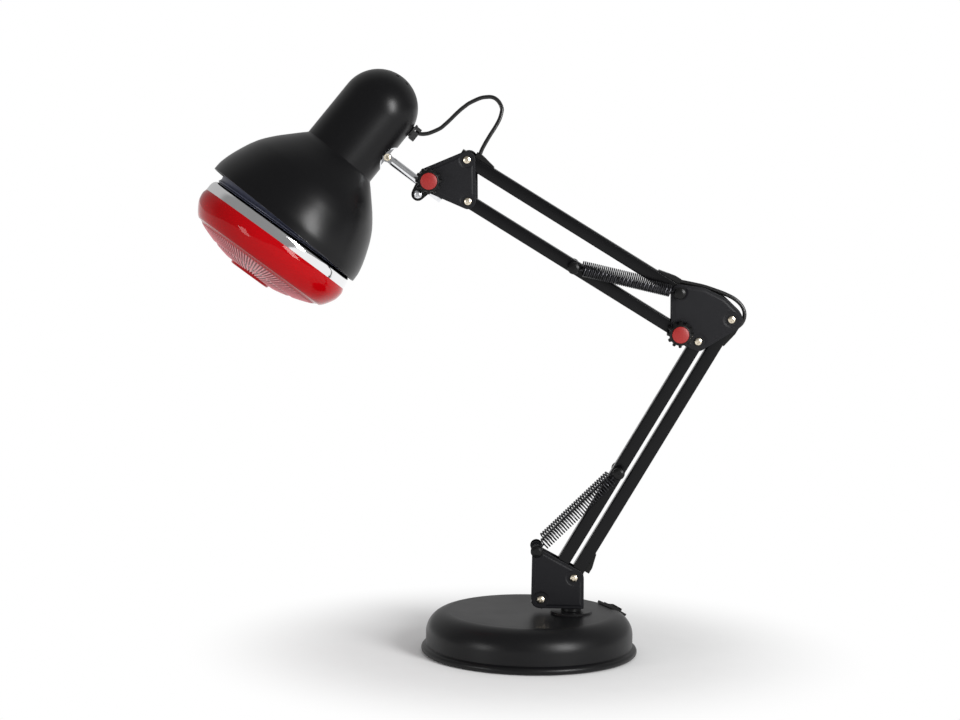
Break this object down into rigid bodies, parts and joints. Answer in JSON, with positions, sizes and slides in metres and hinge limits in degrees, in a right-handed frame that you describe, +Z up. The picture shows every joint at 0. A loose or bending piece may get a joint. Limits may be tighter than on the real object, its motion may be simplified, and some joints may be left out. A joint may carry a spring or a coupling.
{
  "type": "desk heat lamp",
  "caption": "Desk heat lamp: red-fronted reflector bulb in a bell head on a jointed, spring-balanced parallel-bar arm over a round weighted base.",
  "frame": {"origin": "centre of the base's underside, on the surface it stands on", "axes": "+Z up, head reaches towards -X, the arm moves in the XZ plane, +Y to the back"},
  "size_m": [0.4025, 0.16, 0.4301],
  "materials": {
    "base_enamel": "satin black stoved enamel",
    "iron": "rough casting",
    "felt": "pressed felt",
    "switch_plastic": "moulded, satin",
    "post_enamel": "satin black",
    "grommet_rubber": "moulded",
    "plate_coat": "fine textured black powder coat",
    "block_enamel": "satin black",
    "screw_brass": "brassy plated, cross head",
    "pin_black": "gloss black rivet",
    "bar_enamel": "satin black enamel on square tube",
    "clip_plastic": "moulded",
    "spring_black": "black oxide spring wire",
    "bolt_steel": "zinc plated",
    "knob_plastic": "moulded, fine grain",
    "cap_red": "moulded red cap",
    "clamp_black": "satin black die casting",
    "clamp_screw_steel": "zinc plated",
    "chrome": "polished chrome",
    "hinge_brass": "plated, slotted",
    "head_enamel": "satin black enamel, smooth",
    "socket_ceramic": "glazed",
    "inner_blue_black": "gloss blue-black enamel",
    "mirror_glass": "aluminised inside",
    "lens_red": "ruby stained, ribbed",
    "base_metal": "rolled thread",
    "wire": "drawn",
    "cable_black": "black PVC twin flex"
  },
  "bodies": {
    "base": {"base_shell": "base_enamel", "base_weight": "iron", "base_pad": "felt", "switch_housing": "switch_plastic", "post": "post_enamel", "cord_inlet": "grommet_rubber"},
    "rocker": {"switch_rocker": "switch_plastic"},
    "bracket": {"bracket_front": "plate_coat", "bracket_back": "plate_coat", "bracket_block": "block_enamel", "bracket_screws": "screw_brass", "bracket_pin": "pin_black"},
    "lower_left": {"lower_bar_left": "bar_enamel", "lower_pin": "pin_black"},
    "lower_right": {"lower_bar_right": "bar_enamel", "lower_clips": "clip_plastic", "elbow_cable_lower": "cable_black"},
    "lower_spring": {"lower_spring_front": "spring_black", "lower_spring_back": "spring_black"},
    "lower_spring_tip": {"lower_spring_hooks": "spring_black"},
    "elbow": {"elbow_front": "plate_coat", "elbow_back": "plate_coat", "elbow_screws": "screw_brass", "elbow_pin": "pin_black", "elbow_bolt": "bolt_steel"},
    "elbow_knob": {"elbow_knob": "knob_plastic", "elbow_knob_cap": "cap_red"},
    "upper_low": {"upper_bar_low": "bar_enamel", "upper_pin": "pin_black"},
    "upper_top": {"upper_bar_top": "bar_enamel", "upper_clips": "clip_plastic", "head_cable_arm_end": "cable_black", "elbow_cable_upper": "cable_black"},
    "upper_spring": {"upper_spring_front": "spring_black", "upper_spring_back": "spring_black"},
    "upper_spring_tip": {"upper_spring_hooks": "spring_black"},
    "head_plates": {"head_plate_front": "plate_coat", "head_plate_back": "plate_coat", "head_plate_screws": "screw_brass", "head_bolt": "bolt_steel"},
    "head_knob": {"head_knob": "knob_plastic", "head_knob_cap": "cap_red"},
    "clamp": {"clamp_front": "clamp_black", "clamp_back": "clamp_black", "clamp_screw": "clamp_screw_steel", "head_cable_fall": "cable_black"},
    "rod": {"rod": "chrome", "head_cable_rise": "cable_black"},
    "lamp_head": {"hinge_bracket": "chrome", "hinge_screw": "hinge_brass", "shade": "head_enamel", "socket_housing": "head_enamel", "lamp_socket": "socket_ceramic", "inner_shade": "inner_blue_black", "bulb_glass": "mirror_glass", "bulb_lens": "lens_red", "bulb_base": "base_metal", "filament": "wire", "head_gland": "grommet_rubber", "head_cable_lamp_end": "cable_black"}
  },
  "joints": [
    {"name": "switch_rock", "type": "hinge", "parent": "base", "child": "rocker", "pos_m": [0.06177, 0.0288, 0.02808], "axis": [0.7849, 0.366, -0.5], "range_deg": [0, 11]},
    {"name": "base_swivel", "type": "hinge", "parent": "base", "child": "bracket", "pos_m": [0.0306, 0, 0.045], "axis": [0, 0, 1], "range_deg": [-170, 170]},
    {"name": "lower_arm", "type": "hinge", "parent": "bracket", "child": "lower_right", "pos_m": [0.0319, 0, 0.058], "axis": [0, -1, 0], "range_deg": [-5.5, 24]},
    {"name": "lower_left_pivot", "type": "hinge", "parent": "bracket", "child": "lower_left", "pos_m": [0.0079, 0, 0.0414], "axis": [0, -1, 0], "range_deg": [-6, 24.5]},
    {"name": "lower_spring_pivot", "type": "hinge", "parent": "bracket", "child": "lower_spring", "pos_m": [0.004, 0, 0.0786], "axis": [0, -1, 0], "range_deg": [-9, 36]},
    {"name": "lower_spring_stretch", "type": "slide", "parent": "lower_spring", "child": "lower_spring_tip", "axis": [0.7052, 0, 0.709], "range_m": [-0.0105, 0.003], "deforming": ["lower_spring_front", "lower_spring_back", "lower_spring_hooks"]},
    {"name": "elbow_pivot", "type": "hinge", "parent": "lower_right", "child": "elbow", "pos_m": [0.14288, 0, 0.25257], "axis": [0, -1, 0], "range_deg": [-24.5, 6], "deforming": ["elbow_cable_lower"]},
    {"name": "elbow_knob_turn", "type": "hinge", "parent": "elbow", "child": "elbow_knob", "pos_m": [0.10548, -0.007, 0.24157], "axis": [0, -1, 0], "range_deg": [-30, 360]},
    {"name": "upper_arm", "type": "hinge", "parent": "elbow", "child": "upper_top", "pos_m": [0.10428, 0, 0.27187], "axis": [0, 1, 0], "range_deg": [-50, 19], "deforming": ["elbow_cable_upper"]},
    {"name": "upper_low_pivot", "type": "hinge", "parent": "elbow", "child": "upper_low", "pos_m": [0.10548, 0, 0.24157], "axis": [0, 1, 0], "range_deg": [-51, 20]},
    {"name": "upper_spring_pivot", "type": "hinge", "parent": "elbow", "child": "upper_spring", "pos_m": [0.10428, 0, 0.27187], "axis": [0, 1, 0], "range_deg": [-53, 22]},
    {"name": "upper_spring_stretch", "type": "slide", "parent": "upper_spring", "child": "upper_spring_tip", "axis": [-0.9771, 0, 0.213], "range_m": [-0.0105, 0.027], "deforming": ["upper_spring_front", "upper_spring_back", "upper_spring_hooks"]},
    {"name": "head_plates_pivot", "type": "hinge", "parent": "upper_top", "child": "head_plates", "pos_m": [-0.05274, 0, 0.36585], "axis": [0, 1, 0], "range_deg": [-20, 51], "deforming": ["head_cable_arm_end"]},
    {"name": "head_knob_turn", "type": "hinge", "parent": "head_plates", "child": "head_knob", "pos_m": [-0.08014, -0.007, 0.35045], "axis": [0, -1, 0], "range_deg": [-30, 360]},
    {"name": "head_tilt", "type": "hinge", "parent": "head_plates", "child": "clamp", "pos_m": [-0.08014, 0, 0.35045], "axis": [0, -1, 0], "range_deg": [-40, 36], "deforming": ["head_cable_fall"]},
    {"name": "rod_swivel", "type": "hinge", "parent": "clamp", "child": "rod", "pos_m": [-0.11098, 0, 0.36593], "axis": [0.8039, 0, -0.5948], "range_deg": [-90, 90], "deforming": ["head_cable_rise"]},
    {"name": "head_hinge", "type": "hinge", "parent": "rod", "child": "lamp_head", "pos_m": [-0.11098, 0, 0.36593], "axis": [-0.0776, 0.9914, -0.1049], "range_deg": [-35, 30], "deforming": ["head_cable_lamp_end"]}
  ],
  "couplings": [
    {"joint": "lower_left_pivot", "follows": "lower_arm", "ratio": 1},
    {"joint": "elbow_pivot", "follows": "lower_arm", "ratio": -1},
    {"joint": "lower_spring_pivot", "follows": "lower_arm", "ratio": 1.364},
    {"joint": "lower_spring_stretch", "follows": "lower_arm", "m_per_rad": -0.0232},
    {"joint": "upper_low_pivot", "follows": "upper_arm", "ratio": 1},
    {"joint": "head_plates_pivot", "follows": "upper_arm", "ratio": -1},
    {"joint": "upper_spring_pivot", "follows": "upper_arm", "ratio": 1},
    {"joint": "upper_spring_stretch", "follows": "upper_arm", "m_per_rad": -0.029}
  ]
}
